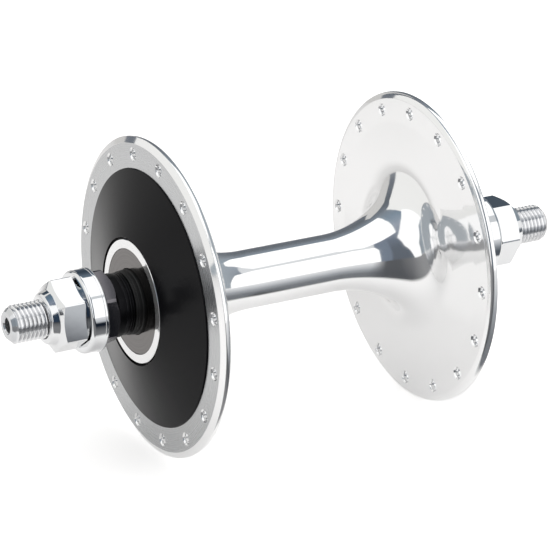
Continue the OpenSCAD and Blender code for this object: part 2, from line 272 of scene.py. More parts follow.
# %% Material of the nuts and washers
chrome, tree = new_material("steel_chrome_plated")
place = add(tree, "TexCoord").outputs["Object"]
waves = add(tree, "TexNoise", {"Vector": place, "Scale": 0.22 / MM, "Detail": 2})
bump = add(tree, "Bump", {"Height": waves, "Strength": 0.08, "Distance": 0.1 * MM})
rough = spread(tree, waves, 0, 1, 0.04, 0.08)
shader = add(tree, "BsdfPrincipled", {"Base Color": colour("#E8E9EA"), "Metallic": 1.0,
                                      "Roughness": rough, "Normal": bump})
add(tree, "OutputMaterial", {"Surface": shader})

# %% [markdown]
# ## Ground bearing steel
# Balls and cups are hardened steel, ground and greased. The film of grease dulls them in patches.

# %% Material of the balls and cups
bearing, tree = new_material("steel_ground_bearing")
place = add(tree, "TexCoord").outputs["Object"]
film = add(tree, "TexNoise", {"Vector": place, "Scale": 0.4 / MM, "Detail": 3})
tone = blend(tree, film, colour("#A9ABAE"), colour("#C3C5C8"))
rough = spread(tree, film, 0, 1, 0.08, 0.22)
shader = add(tree, "BsdfPrincipled", {"Base Color": tone, "Metallic": 1.0, "Roughness": rough})
add(tree, "OutputMaterial", {"Surface": shader})

# %% [markdown]
# ## CAD nodes that keep their shape
# The balls and their cups sit out of sight in the shell. The CAD model has their shape, so they
# stay and only get their finish.

# %% Finish of the CAD nodes
CAD_FINISH = {"bearing_cup": bearing, "ball_set": bearing}
for side in SIDES:
    for piece, finish in CAD_FINISH.items():
        node = nodes[f"{side}_{piece}"]
        for slot in node.material_slots:
            slot.material = finish
print("finished", len(CAD_FINISH) * len(SIDES), "CAD nodes")

# %% [markdown]
# ## Drawing a section
# Nearly every piece of a hub is turned on a lathe, so it can be modelled as it is made. First
# comes half of its section: a straight stroke is an extruded vertex, and an arc is a vertex spun
# about a centre. A third number on a stroke rounds the corner at its end, by bevelling the
# vertex, because a real edge is never quite sharp.

# %% A section from strokes
SAME_POINT = 1e-8


def draw_section(strokes, side=RIGHT):
    """A closed outline from strokes: (r, out), (r, out, rounding), or ("arc", r, out, degrees, steps)."""
    bm = bmesh.new()
    first = bm.verts.new((strokes[0][0] * MM, strokes[0][1] * MM, 0))
    tip = first
    corners = {}
    for stroke in strokes[1:]:
        if stroke[0] == "arc":
            _, r, out, degrees, steps = stroke
            made = bmesh.ops.spin(bm, geom=[tip], cent=(r * MM, out * MM, 0), axis=(0, 0, 1),
                                  angle=math.radians(degrees), steps=steps)
            tip = [v for v in made["geom_last"] if isinstance(v, bmesh.types.BMVert)][0]
        else:
            tip = bmesh.ops.extrude_vert_indiv(bm, verts=[tip])["verts"][0]
            tip.co = (stroke[0] * MM, stroke[1] * MM, 0)
            if len(stroke) == 3:
                corners.setdefault(stroke[2], []).append(tip)
    bm.edges.new((tip, first))
    for rounding, corner_verts in corners.items():
        bmesh.ops.bevel(bm, geom=corner_verts, offset=rounding * MM, offset_type="OFFSET", segments=3,
                        profile=0.5, affect="VERTICES", material=-1, clamp_overlap=True)
    bmesh.ops.remove_doubles(bm, verts=bm.verts, dist=SAME_POINT)
    if side == LEFT:
        bmesh.ops.scale(bm, vec=(1, -1, 1), verts=bm.verts)
    return bm

# %% [markdown]
# ## Turning a section
# Spinning the finished outline a full turn about the axle makes the solid. Merging doubles
# closes its seam, and the normals are worked out anew, so that they all point outwards.

# %% A full turn
SEAM = 1e-7


def turn_section(bm, steps=128, centre_r=0):
    """Spins the outline a full turn about a line along the axle and closes the seam."""
    bmesh.ops.spin(bm, geom=bm.verts[:] + bm.edges[:], cent=(centre_r * MM, 0, 0), axis=AXLE,
                   angle=math.tau, steps=steps, use_merge=True)
    bmesh.ops.remove_doubles(bm, verts=bm.verts, dist=SEAM)
    bmesh.ops.recalc_face_normals(bm, faces=bm.faces)
    return bm

# %% [markdown]
# ## From mesh to finished piece
# A smooth metal surface needs smooth shading, but a real edge must stay crisp. Edges that turn
# by more than a set angle are marked sharp, a smaller one on drilled, milled or threaded
# pieces. A Weighted Normal modifier then lets the large faces set the shading, so the flat
# faces stay flat right up to their rounded edges.

# %% Finishing a piece
SHARP, SHARP_CUT = math.radians(32), math.radians(24)


def to_object(name, bm):
    """Puts a mesh into the scene as an object."""
    mesh = bpy.data.meshes.new(name)
    bm.to_mesh(mesh)
    bm.free()
    made = bpy.data.objects.new(name, mesh)
    bpy.context.scene.collection.objects.link(made)
    return made


def finish_piece(name, bm, body, replaced, finishes, sharp=SHARP):
    """Makes an object of the mesh, shades it and puts it on its CAD body."""
    for face in bm.faces:
        face.smooth = True
    for edge in bm.edges:
        edge.smooth = len(edge.link_faces) == 2 and edge.calc_face_angle(0) < sharp
    piece = to_object(name, bm)
    for finish in finishes:
        piece.data.materials.append(finish)
    shading = piece.modifiers.new("even shading", "WEIGHTED_NORMAL")
    shading.keep_sharp = True
    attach(piece, body)
    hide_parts(*replaced)
    print(name, len(piece.data.polygons), "faces")

# %% [markdown]
# ## Drilling
# A drilled hole is a Boolean: the drill is a mesh of its own, and what it fills is taken away.
# The modifier works on objects, so both meshes become one for a moment, and only the result of
# the modifier is kept.

# %% Cutting one mesh with another
def drill_out(bm, drill_bm):
    """Takes the drill's mesh away from another one, and returns the result as a new mesh."""
    objects = [to_object("work", part) for part in (bm, drill_bm)]
    cut = objects[0].modifiers.new("cut", "BOOLEAN")
    cut.operation = "DIFFERENCE"
    cut.solver = "EXACT"
    cut.object = objects[1]
    graph = bpy.context.evaluated_depsgraph_get()
    result = bmesh.new()
    result.from_mesh(objects[0].evaluated_get(graph).to_mesh())
    for work in objects:
        bpy.data.objects.remove(work)
    return result

# %% [markdown]
# ## The shell's outline
# The barrel swells towards each flange in two arcs: a long gentle one, and a tighter one that
# runs into the web. The flange carries two bevels on its rim, and the boss stands inside it
# with its seats for the cup and the dust cap. The values repeat those of the CAD source, where
# the gentle arc's angle follows from its length, and the tighter arc's radius makes it touch
# both the gentle arc and the sloping web. As those two are written here, the shape is within
# 0.001 mm of that.

# %% Sizes of the shell
BARREL_R, CORE_R = 6.9, 5.3
FLARE_R, FLARE_START, FLARE_END, FLARE_ANGLE = 29.0, 11.0, 27.5, 34.6767
ROOT_R, WEB_SLOPE = 12.1583, 3.0
WEB_R, FLANGE_IN, FLANGE_OUT, FLANGE_R = 30.5, 33.2, 35.8, 37.5
RIM_W, RIM_IN, RIM_OUT = 1.5, 0.6, 0.8
BOSS_R, BOSS_OUT = 14.48, 40.0
CUP_R, CUP_IN = 12.13, 32.32
CAP_R, CAP_IN, CAP_OUT = 12.33, 38.9, 39.9
PRESS = 0.02
flare_turn = math.radians(FLARE_ANGLE)
flare_end_r = BARREL_R + FLARE_R * (1 - math.cos(flare_turn))
root_centre_r = flare_end_r + ROOT_R * math.cos(flare_turn)
root_centre_out = FLARE_END - ROOT_R * math.sin(flare_turn)
print("flare ends at radius", round(flare_end_r, 3), "and the root's centre is", round(root_centre_r, 3),
      round(root_centre_out, 3))

# %% [markdown]
# ## The cover's cone
# The black cover rises as a shallow cone from its edge to the boss. The recess under it has the
# same slope, so one function gives the height of the cone at a radius for both.

# %% Height of the cover
COVER_R, COVER_EDGE, COVER_IN_R, COVER_TOP, COVER_T = 30.2, 36.1, 14.96, 40.1, 1.4


def cover_face(r):
    """How far out the cover's face is at a radius."""
    return COVER_EDGE + (COVER_TOP - COVER_EDGE) * (COVER_R - r) / (COVER_R - COVER_IN_R)


print("the cover is", round(cover_face(BOSS_R), 3), "mm out at the boss")

# %% [markdown]
# ## Turning the shell
# Half of the section is drawn from the middle of the barrel out to the boss and back along the
# bore. It is mirrored at the middle, so both ends are alike, and turned in 192 steps, which
# keeps the reflections in the polish free of kinks.

# %% Turn the shell
MIDDLE_SEAM = 1e-6
recess_r = COVER_R + PRESS
half = draw_section([
    (BARREL_R, 0), (BARREL_R, FLARE_START),
    ("arc", BARREL_R + FLARE_R, FLARE_START, -FLARE_ANGLE, 40),
    ("arc", root_centre_r, root_centre_out, -(90 - FLARE_ANGLE - WEB_SLOPE), 40),
    (WEB_R, FLANGE_IN, 0.5),
    (FLANGE_R - RIM_W, FLANGE_IN, 0.1), (FLANGE_R, FLANGE_IN + RIM_IN, 0.75),
    (FLANGE_R, FLANGE_OUT - RIM_OUT, 0.1), (FLANGE_R - RIM_W, FLANGE_OUT, 0.1),
    (recess_r, FLANGE_OUT, 0.05), (recess_r, cover_face(recess_r) - COVER_T - PRESS),
    (BOSS_R, cover_face(BOSS_R) - COVER_T - PRESS),
    (BOSS_R, BOSS_OUT, 0.25), (CAP_R + PRESS, BOSS_OUT, 0.08), (CAP_R + PRESS, CAP_IN),
    (CUP_R + PRESS, CAP_IN), (CUP_R + PRESS, CUP_IN), (CORE_R, CUP_IN), (CORE_R, 0),
])
closing = [e for e in half.edges if all(abs(v.co.y) < SAME_POINT for v in e.verts)]
bmesh.ops.delete(half, geom=closing, context="EDGES")
bmesh.ops.mirror(half, geom=half.verts[:] + half.edges[:], matrix=Matrix.Identity(4), axis="Y",
                 merge_dist=MIDDLE_SEAM)
bmesh.ops.remove_doubles(half, verts=half.verts, dist=SEAM)
shell_bm = turn_section(half, steps=192)
print("shell:", len(shell_bm.faces), "faces, open edges:", sum(e.is_boundary for e in shell_bm.edges))

# %% [markdown]
# ## Spoke holes
# Each flange has sixteen holes for spokes of 2 mm. Both ends of a hole are countersunk, which
# makes the bright rim round each dark hole. One drill is turned as an hourglass that reaches
# past both faces, copied round the flange by a spin that duplicates, and cut out. The two
# flanges are drilled half a step apart. Angles count from straight up towards the front, and a
# section is drawn straight in front of the axle, at 90 degrees.

# %% Drill the flanges
SPOKE_R, SPOKES, HOLE_R, SINK, REACH = 33.5, 16, 1.25, 0.35, 0.5
FIRST_HOLE = {LEFT: 11.25, RIGHT: 0.0}
DRAWN_AT = 90
for end in (LEFT, RIGHT):
    drill = draw_section([
        (SPOKE_R, FLANGE_IN - REACH), (SPOKE_R + HOLE_R + SINK + REACH, FLANGE_IN - REACH),
        (SPOKE_R + HOLE_R, FLANGE_IN + SINK, 0.08), (SPOKE_R + HOLE_R, FLANGE_OUT - SINK, 0.08),
        (SPOKE_R + HOLE_R + SINK + REACH, FLANGE_OUT + REACH), (SPOKE_R, FLANGE_OUT + REACH)], end)
    turn_section(drill, steps=32, centre_r=SPOKE_R)
    first = math.radians(FIRST_HOLE[end] - DRAWN_AT)
    bmesh.ops.rotate(drill, verts=drill.verts, cent=(0, 0, 0), matrix=Matrix.Rotation(first, 3, AXLE))
    bmesh.ops.spin(drill, geom=drill.verts[:] + drill.edges[:] + drill.faces[:], cent=(0, 0, 0), axis=AXLE,
                   angle=math.tau * (SPOKES - 1) / SPOKES, steps=SPOKES - 1, use_duplicate=True)
    shell_bm = drill_out(shell_bm, drill)
bmesh.ops.remove_doubles(shell_bm, verts=shell_bm.verts, dist=SEAM)
print("drilled shell:", len(shell_bm.faces), "faces")

# %% [markdown]
# ## Two finishes on one piece
# The shell is polished all over except for the ring between cover and rim, which keeps its lathe
# rings. A face belongs to that ring where it lies level with the flange's outer face, between
# the two radii, and looks straight out along the axle.

# %% Finish the shell
POLISHED_FACE, SATIN_FACE = 0, 1
LEVEL, STRAIGHT_OUT = 0.02, 0.99
for face in shell_bm.faces:
    middle = face.calc_center_median() / MM
    level = abs(middle.y) > FLANGE_OUT - LEVEL and abs(face.normal.y) > STRAIGHT_OUT
    on_ring = COVER_R < math.hypot(middle.x, middle.z) < FLANGE_R - RIM_W
    face.material_index = SATIN_FACE if level and on_ring else POLISHED_FACE
print("satin faces:", sum(face.material_index == SATIN_FACE for face in shell_bm.faces))
finish_piece("polished_hub_shell", shell_bm, "hub_unit", ["hub_shell"], [polished, satin],
             SHARP_CUT)

# %% [markdown]
# ## Flange covers
# A thin black disc hides the recess of each flange. It rises as a shallow cone towards the
# boss and ends in a groove that goes down to a lip round the boss.

# %% Turn the covers
GROOVE = 1.0
lip_r = BOSS_R + PRESS
for side, end in SIDES.items():
    section = draw_section([
        (lip_r, cover_face(lip_r) - COVER_T), (COVER_R, COVER_EDGE - COVER_T),
        (COVER_R, COVER_EDGE, 0.2), (COVER_IN_R, COVER_TOP, 0.12),
        (COVER_IN_R, cover_face(COVER_IN_R) - GROOVE), (lip_r, cover_face(lip_r) - GROOVE, 0.08)], end)
    finish_piece(f"{side}_cover", turn_section(section, steps=160), "hub_unit", [f"{side}_flange_cover"],
                 [black])

# %% [markdown]
# ## Bearing cone
# The cone carries the inner race, an arc round the middle of the balls. The arc starts where it
# meets the cone's tip and ends where it meets the body. Beyond the seal's seat, the shoulder has
# two fine grooves. The cone's bore stands 0.05 mm clear of the thread.

# %% Section of the cones
BORE_R, BALL_R, BALL_OUT, RACE_R = 4.5, 8.398, 36.0, 2.43
CONE_TIP_R, CONE_TIP_LEN, CONE_R = 6.018, 1.4, 7.018
SHOULDER_R, SHOULDER_OUT, NECK_LEN, NECK_BEVEL = 7.218, 44.5, 0.25, 0.1
SEAL_R, SEAL_IN, SEAL_OUT, SEAL_WALL = 7.618, 39.3, 42.2, 1.4
GROOVES, GROOVE_HALF, GROOVE_DEPTH = (42.9, 43.55), 0.1, 0.2
seat_r = SEAL_R - SEAL_WALL
groove_r = SHOULDER_R - GROOVE_DEPTH
race_start = math.acos((BALL_R - CONE_TIP_R) / RACE_R)
race_end = math.acos((BALL_R - CONE_R) / RACE_R)
cone_strokes = [
    (BORE_R, BALL_OUT - CONE_TIP_LEN), (CONE_TIP_R, BALL_OUT - CONE_TIP_LEN, 0.1),
    (CONE_TIP_R, BALL_OUT - RACE_R * math.sin(race_start)),
    ("arc", BALL_R, BALL_OUT, -math.degrees(race_start + race_end), 16),
    (CONE_R, SEAL_IN), (seat_r, SEAL_IN), (seat_r, SEAL_OUT), (CONE_R, SEAL_OUT, 0.05),
    (CONE_R, SEAL_OUT + NECK_LEN), (SHOULDER_R, SEAL_OUT + NECK_LEN + NECK_BEVEL, 0.04)]
for groove in GROOVES:
    cone_strokes += [(SHOULDER_R, groove - GROOVE_HALF, 0.04), (groove_r, groove - GROOVE_HALF),
                     (groove_r, groove + GROOVE_HALF), (SHOULDER_R, groove + GROOVE_HALF, 0.04)]
cone_strokes += [(SHOULDER_R, SHOULDER_OUT, 0.15), (BORE_R, SHOULDER_OUT)]
print("the race covers", round(math.degrees(race_start + race_end), 1), "degrees")

# %% [markdown]
# ## Seal, dust cap and lock washer
# The rubber seal sits on the cone and rubs with its thick lip in the hole of the dust cap. It
# gets thinner in two steps further out. The dust cap and the lock washer are plain rings. The
# edges that show are rounded a little, so that they catch the light.

# %% Sections of the seal, cap and washer
LIP_OUT, LIP_BEVEL, WAIST_CUT = 40.45, 0.15, 0.12
WAIST_OUT, WAIST_BEVEL, TAIL_CUT = 41.4, 0.1, 0.2
CAP_HOLE_R = 7.718
LOCK_WASHER_R, LOCKNUT_IN = 7.4, 46.4
seal_strokes = [
    (seat_r + PRESS, SEAL_IN), (SEAL_R, SEAL_IN, 0.1), (SEAL_R, LIP_OUT, 0.08),
    (SEAL_R - WAIST_CUT, LIP_OUT + LIP_BEVEL), (SEAL_R - WAIST_CUT, WAIST_OUT, 0.08),
    (SEAL_R - TAIL_CUT, WAIST_OUT + WAIST_BEVEL), (SEAL_R - TAIL_CUT, SEAL_OUT, 0.12),
    (seat_r + PRESS, SEAL_OUT)]
cap_strokes = [(CAP_HOLE_R, CAP_IN), (CAP_R, CAP_IN), (CAP_R, CAP_OUT, 0.2), (CAP_HOLE_R, CAP_OUT, 0.08)]
washer_strokes = [(BORE_R, SHOULDER_OUT), (LOCK_WASHER_R, SHOULDER_OUT, 0.15),
                  (LOCK_WASHER_R, LOCKNUT_IN, 0.2), (BORE_R, LOCKNUT_IN)]
print("the seal clears the cap's hole by", round(CAP_HOLE_R - SEAL_R, 3), "mm")

# %% [markdown]
# ## Turning the small parts
# All of these are turned in the same way at both ends, so a list says what each one is called,
# which CAD node and body it belongs to, and which section and finish it has.

# %% Turn the small parts of the bearings
SMALL_PARTS = [
    ("bearing_cone", "cone", "axle_unit", cone_strokes, scale, "black_steel"),
    ("rubber_seal", "seal", "axle_unit", seal_strokes, rubber, "seal_rubber"),
    ("bearing_dust_cap", "dust_cap", "hub_unit", cap_strokes, grey, "grey_cap"),
    ("cone_lock_washer", "lock_washer", "axle_unit", washer_strokes, scale, "black_steel")]
for side, end in SIDES.items():
    for piece, node_name, body, strokes, finish, slot in SMALL_PARTS:
        turned = turn_section(draw_section(strokes, end))
        finish_piece(f"{side}_{piece}", turned, body, [f"{side}_{node_name}"], [finish])

# %% [markdown]
# ## Hexagons
# A nut starts as a turned blank with its chamfers already on it. Six flats are then milled:
# each is one straight cut of the mesh, and the open rim that the cut leaves is filled with a
# face. Where a flat meets the chamfer this gives the curved corner line of a real nut.

# %% Milling flats
FLATS = 6
FLAT_TURN = 360 / FLATS


def corner_radius(flats):
    """How far the corners of a hexagon are from its middle, from the width across its flats."""
    return flats / 2 / math.cos(math.radians(FLAT_TURN / 2))


def cut_off(bm, at, outwards):
    """Cuts off what lies beyond a plane and closes the mesh there with a face."""
    cut = bmesh.ops.bisect_plane(bm, geom=bm.verts[:] + bm.edges[:] + bm.faces[:], dist=SAME_POINT,
                                 plane_co=at, plane_no=outwards, clear_outer=True)
    rim = [e for e in cut["geom_cut"] if isinstance(e, bmesh.types.BMEdge)]
    bmesh.ops.contextual_create(bm, geom=rim)


def mill_flats(bm, flats, corner_degrees):
    """Cuts six flats, with one corner at an angle from straight up towards the front."""
    for step in range(FLATS):
        angle = math.radians(corner_degrees + FLAT_TURN / 2 + FLAT_TURN * step)
        outwards = Vector((math.sin(angle), 0, math.cos(angle)))
        cut_off(bm, outwards * flats / 2 * MM, outwards)
    bmesh.ops.recalc_face_normals(bm, faces=bm.faces)

# %% [markdown]
# ## Locknuts
# A thin black nut locks each cone. Its outer face is what the fork end is clamped against, so
# it is flat right to a small chamfer. Its inner edge is turned down to a 40 degree cone, which
# gives the corners their curved line.

# %% Turn and mill the locknuts
LOCKNUT_FLATS, LOCKNUT_OUT, LOCKNUT_CHAMFER, LOCKNUT_SLOPE = 16.0, 50.0, 0.2, 40
corner_r = corner_radius(LOCKNUT_FLATS) - LOCKNUT_CHAMFER
face_r = LOCKNUT_FLATS / 2 - LOCKNUT_CHAMFER
taper = (corner_r - face_r) * math.tan(math.radians(LOCKNUT_SLOPE))
for side, end in SIDES.items():
    blank = draw_section([
        (BORE_R, LOCKNUT_IN), (face_r, LOCKNUT_IN), (corner_r, LOCKNUT_IN + taper),
        (corner_r, LOCKNUT_OUT, LOCKNUT_CHAMFER), (BORE_R, LOCKNUT_OUT)], end)
    mill_flats(turn_section(blank, steps=144), LOCKNUT_FLATS, corner_degrees=0)
    finish_piece(f"{side}_lock_nut", blank, "axle_unit", [f"{side}_locknut"], [oxide],
                 SHARP_CUT)

# %% [markdown]
# ## Captive washers
# The washer turns on the nut's sleeve and keeps the fork end from being scored. A fine lip runs
# round its back, and its front edge is rounded. Its bore is stepped, because a collar at the end
# of the sleeve keeps it on the nut.

# %% Turn the washers
WASHER_R, WASHER_IN, WASHER_OUT, WASHER_ROUND = 9.65, 50.0, 54.2, 0.85
EDGE_LIP, EDGE_LIP_LEN, EDGE_LIP_BEVEL = 0.1, 0.85, 0.05
SLEEVE_R, COLLAR_R, COLLAR_OUT, GAP = 6.2, 6.8, 51.0, 0.1
for side, end in SIDES.items():
    section = draw_section([
        (COLLAR_R + GAP, WASHER_IN), (WASHER_R + EDGE_LIP, WASHER_IN, 0.15),
        (WASHER_R + EDGE_LIP, WASHER_IN + EDGE_LIP_LEN, 0.05),
        (WASHER_R, WASHER_IN + EDGE_LIP_LEN + EDGE_LIP_BEVEL), (WASHER_R, WASHER_OUT - WASHER_ROUND),
        ("arc", WASHER_R - WASHER_ROUND, WASHER_OUT - WASHER_ROUND, 90, 12),
        (SLEEVE_R + GAP, WASHER_OUT, 0.1), (SLEEVE_R + GAP, COLLAR_OUT + GAP),
        (COLLAR_R + GAP, COLLAR_OUT + GAP)], end)
    finish_piece(f"{side}_captive_washer", turn_section(section), f"{side}_washer",
                 [f"{side}_nut_washer"], [chrome])

# %% [markdown]
# ## Axle nuts
# A chromed nut holds each end in the fork. Its sleeve runs inside the washer, its front falls
# away to the corners, and a short nose in the middle leads to the thread. Each nut stands at the
# angle at which it was tightened.

# %% Turn and mill the axle nuts
NUT_FLATS, NUT_CHAMFER, FRONT_SLOPE = 15.0, 0.1, 24.0
NUT_IN, SLEEVE_OUT, HEX_IN, HEX_OUT = 50.2, 54.25, 54.65, 60.6
NOSE_R, NOSE_TIP_R, NOSE_OUT, NOSE_BEVEL, BORE_SINK = 6.42, 5.8, 62.6, 0.35, 0.2
NUT_ANGLE = {LEFT: -5, RIGHT: 29}
corner_r = corner_radius(NUT_FLATS) - NUT_CHAMFER
front_drop = (corner_r - NOSE_R) * math.tan(math.radians(FRONT_SLOPE))
for side, end in SIDES.items():
    blank = draw_section([
        (BORE_R, NUT_IN), (COLLAR_R, NUT_IN, 0.2), (COLLAR_R, COLLAR_OUT), (SLEEVE_R, COLLAR_OUT),
        (SLEEVE_R, SLEEVE_OUT), (COLLAR_R, SLEEVE_OUT), (COLLAR_R, HEX_IN), (corner_r, HEX_IN, 0.2),
        (corner_r, HEX_OUT - front_drop), (NOSE_R, HEX_OUT, 0.1), (NOSE_TIP_R, NOSE_OUT - NOSE_BEVEL, 0.25),
        (BORE_R + BORE_SINK, NOSE_OUT, 0.15), (BORE_R, NOSE_OUT - BORE_SINK)], end)
    mill_flats(turn_section(blank, steps=144), NUT_FLATS, corner_degrees=NUT_ANGLE[end])
    finish_piece(f"{side}_track_nut", blank, f"{side}_nut", [f"{side}_axle_nut"], [chrome],
                 SHARP_CUT)

# %% [markdown]
# ## Threaded axle
# The axle carries a rolled thread of 1 mm pitch. One straight line of zigzags, a turn of the
# thread for each, is spun once round the axle while it moves on by one pitch. The last copy
# then meets the first one a turn further on, so merging doubles closes it into a real helix.
# The line starts and ends past the ends of the axle, which are cut afterwards.

# %% Roll the thread
CREST_R, THREAD_ROOT_R, PITCH, TURN_STEPS = 4.45, 3.84, 1.0, 60
ZIGZAG = ((CREST_R, 0.0), (CREST_R, 0.125), (THREAD_ROOT_R, 0.4375), (THREAD_ROOT_R, 0.6875))
FIRST_TURN, LAST_TURN = -74, 72
THREAD_SEAM = 2e-6
axle_bm = bmesh.new()
points = [(r * MM, (number + share) * PITCH * MM, 0) for number in range(FIRST_TURN, LAST_TURN + 1)
          for r, share in ZIGZAG]
tip = axle_bm.verts.new(points[0])
for point in points[1:]:
    tip = bmesh.ops.extrude_vert_indiv(axle_bm, verts=[tip])["verts"][0]
    tip.co = point
bmesh.ops.spin(axle_bm, geom=axle_bm.verts[:] + axle_bm.edges[:], cent=(0, 0, 0), axis=AXLE, angle=math.tau,
               steps=TURN_STEPS, dvec=AXLE * PITCH * MM / TURN_STEPS)
bmesh.ops.remove_doubles(axle_bm, verts=axle_bm.verts, dist=THREAD_SEAM)
print("thread:", len(axle_bm.faces), "faces, from", round(min(v.co.y for v in axle_bm.verts) / MM, 2))

# %% [markdown]
# ## Axle ends
# Two cuts give the axle its length, and the open ends are filled. A chamfer that a file or a
# lathe would make is put on by pulling in every point that stands outside its cone.

# %% Cut and chamfer the axle
AXLE_OUT, CHAMFER = 71.0, 1.25
for end in (LEFT, RIGHT):
    cut_off(axle_bm, AXLE * end * AXLE_OUT * MM, AXLE * end)
for vert in axle_bm.verts:
    cone_r = CREST_R * MM - max(0, abs(vert.co.y) - (AXLE_OUT - CHAMFER) * MM)
    r = math.hypot(vert.co.x, vert.co.z)
    if r > cone_r:
        vert.co.x *= cone_r / r
        vert.co.z *= cone_r / r
bmesh.ops.recalc_face_normals(axle_bm, faces=axle_bm.faces)
print("axle:", 2 * AXLE_OUT, "mm long,", len(axle_bm.faces), "faces")

# %% [markdown]
# ## Centre holes
# The lathe held the axle at a hole in each end. The drill has a pointed tip and leaves a small
# countersink.

# %% Drill the centre holes
CENTRE_R, CENTRE_DEPTH, CENTRE_SINK, CENTRE_REACH = 1.75, 6.0, 0.35, 1
for end in (LEFT, RIGHT):
    drill = draw_section([
        (0, AXLE_OUT - CENTRE_DEPTH - CENTRE_R / 2), (CENTRE_R, AXLE_OUT - CENTRE_DEPTH),
        (CENTRE_R, AXLE_OUT - CENTRE_SINK), (CENTRE_R + CENTRE_SINK + CENTRE_REACH, AXLE_OUT + CENTRE_REACH),
        (0, AXLE_OUT + CENTRE_REACH)], end)
    axle_bm = drill_out(axle_bm, turn_section(drill, steps=48))
finish_piece("threaded_axle", axle_bm, "axle_unit", ["axle"], [zinc], SHARP_CUT)

# %% [markdown]
# ## Paper for the floor
# A plain pale floor lies under the two flanges. It is as bright as paper where nothing shades
# it. Light Path adds a little of its own light for what the camera sees, so that the floor
# turns white there and still keeps the hub's shadow. The polish sees less of that light, and
# not everywhere: most of it under and before the hub, some of it behind to the left, and none
# further back. That is how bright the table shows in the photograph's polish.

# %% Material of the floor
CAMERA_LIFT, FRONT_LIFT, LEFT_LIFT = 0.5, 0.28, 0.2
floor_paper, tree = new_material("paper_matt_white")
seen = add(tree, "LightPath")
place = add(tree, "SeparateXYZ", {0: add(tree, "TexCoord").outputs["Object"]})
to_front = spread(tree, place.outputs["X"], -70 * MM, 20 * MM, 0, FRONT_LIFT)
leftwards = spread(tree, place.outputs["Y"], 12 * MM, -12 * MM, 0, LEFT_LIFT)
near_hub = spread(tree, place.outputs["X"], -350 * MM, -170 * MM)
to_left = add(tree, "Math", {0: leftwards, 1: near_hub}, operation="MULTIPLY")
stronger = add(tree, "Math", {0: to_front, 1: to_left}, operation="MAXIMUM")
mirrored = add(tree, "Math", {0: seen.outputs["Is Glossy Ray"], 1: stronger}, operation="MULTIPLY")
lift = add(tree, "Math", {0: seen.outputs["Is Camera Ray"], 1: CAMERA_LIFT, 2: mirrored},
           operation="MULTIPLY_ADD")
paper = add(tree, "BsdfDiffuse", {"Color": colour("#F0EFEE")})
glow = add(tree, "Emission", {"Color": (1, 1, 1, 1), "Strength": lift})
both = add(tree, "AddShader", {0: paper, 1: glow})
add(tree, "OutputMaterial", {"Surface": both})

# %% [markdown]
# ## Floor
# The floor is one large square, a hair below the rims, so that it never cuts into them. From
# here on, the sizes of large things are in metres.

# %% Pale floor
FLOOR_HALF, FLOOR_GAP = 3, 0.05
floor_bm = bmesh.new()
bmesh.ops.create_grid(floor_bm, x_segments=1, y_segments=1, size=FLOOR_HALF)
bmesh.ops.translate(floor_bm, verts=floor_bm.verts, vec=(0, 0, -(FLANGE_R + FLOOR_GAP) * MM))
floor = to_object("floor", floor_bm)
floor.data.materials.append(floor_paper)
print("the floor lies", FLOOR_GAP, "mm below the rims")

# %% [markdown]
# ## The studio in the polish
# A mirror shows only what stands around it, so the surroundings matter as much as the metal.
# The polish shows a dark room with two softboxes above and in front, a white wall to the left
# and the white table. Each thing is a card far from the hub. A card is placed by directions:
# the angle round the axle from straight up towards the front, and how far it leans to the
# right. Only reflections see the cards.

# %% Placing a card
def direction(angle, lean):
    """A unit direction from an angle round the axle and its share along the axle."""
    across = math.sqrt(1 - lean * lean)
    return Vector((across * math.sin(math.radians(angle)), lean, across * math.cos(math.radians(angle))))


def place_card(name, bm, material):
    """Makes a card of a mesh, for reflections alone."""
    card = to_object(name, bm)
    card.data.materials.append(material)
    card.visible_camera = False
    card.visible_diffuse = False
    card.visible_shadow = False
    print("card", name, len(card.data.polygons), "faces")

# %% [markdown]
# ## Soft edges
# The cloth of a softbox fades at its edge. A card's rim is inset, and a value on its points
# fades the light out from the inner outline to the outer one.

# %% A card with a soft rim
def card_material(name, hex_value, strength=1.0):
    """Light that fades with the card's own value from clear to full."""
    material, tree = new_material(name)
    glow = add(tree, "Emission", {"Color": colour(hex_value), "Strength": strength})
    fade = add(tree, "Attribute", attribute_name="solid")
    clear = add(tree, "BsdfTransparent")
    mixed = add(tree, "MixShader", {0: fade.outputs["Fac"], 1: clear, 2: glow})
    add(tree, "OutputMaterial", {"Surface": mixed})
    return material


def soft_card(name, corners, distance, material, rim):
    """A card whose corners lie in the given directions. Distance and fading rim are in metres."""
    bm = bmesh.new()
    solid = bm.verts.layers.float.new("solid")
    face = bm.faces.new([bm.verts.new(direction(angle, lean) * distance) for angle, lean in corners])
    bmesh.ops.inset_region(bm, faces=[face], thickness=rim, use_even_offset=False)
    for vert in face.verts:
        vert[solid] = 1
    place_card(name, bm, material)

# %% [markdown]
# ## Tones by direction
# The dark things of the studio aren't evenly dark. Their shaders work out the direction of each
# point from the hub, with the same two numbers that place the cards, and look up a tone for it
# on a colour ramp.

# %% Tones by direction
def seen_from(tree, eye):
    """The angle in degrees and the lean of each point as seen from a place, as shader values."""
    at = add(tree, "TexCoord").outputs["Object"]
    away_from_eye = add(tree, "VectorMath", {0: at, 1: eye}, operation="SUBTRACT")
    unit = add(tree, "VectorMath", {0: away_from_eye}, operation="NORMALIZE")
    parts = add(tree, "SeparateXYZ", {0: unit})
    turned = add(tree, "Math", {0: parts.outputs["X"], 1: parts.outputs["Z"]}, operation="ARCTAN2")
    degrees = add(tree, "Math", {0: turned}, operation="DEGREES")
    return degrees, parts.outputs["Y"]


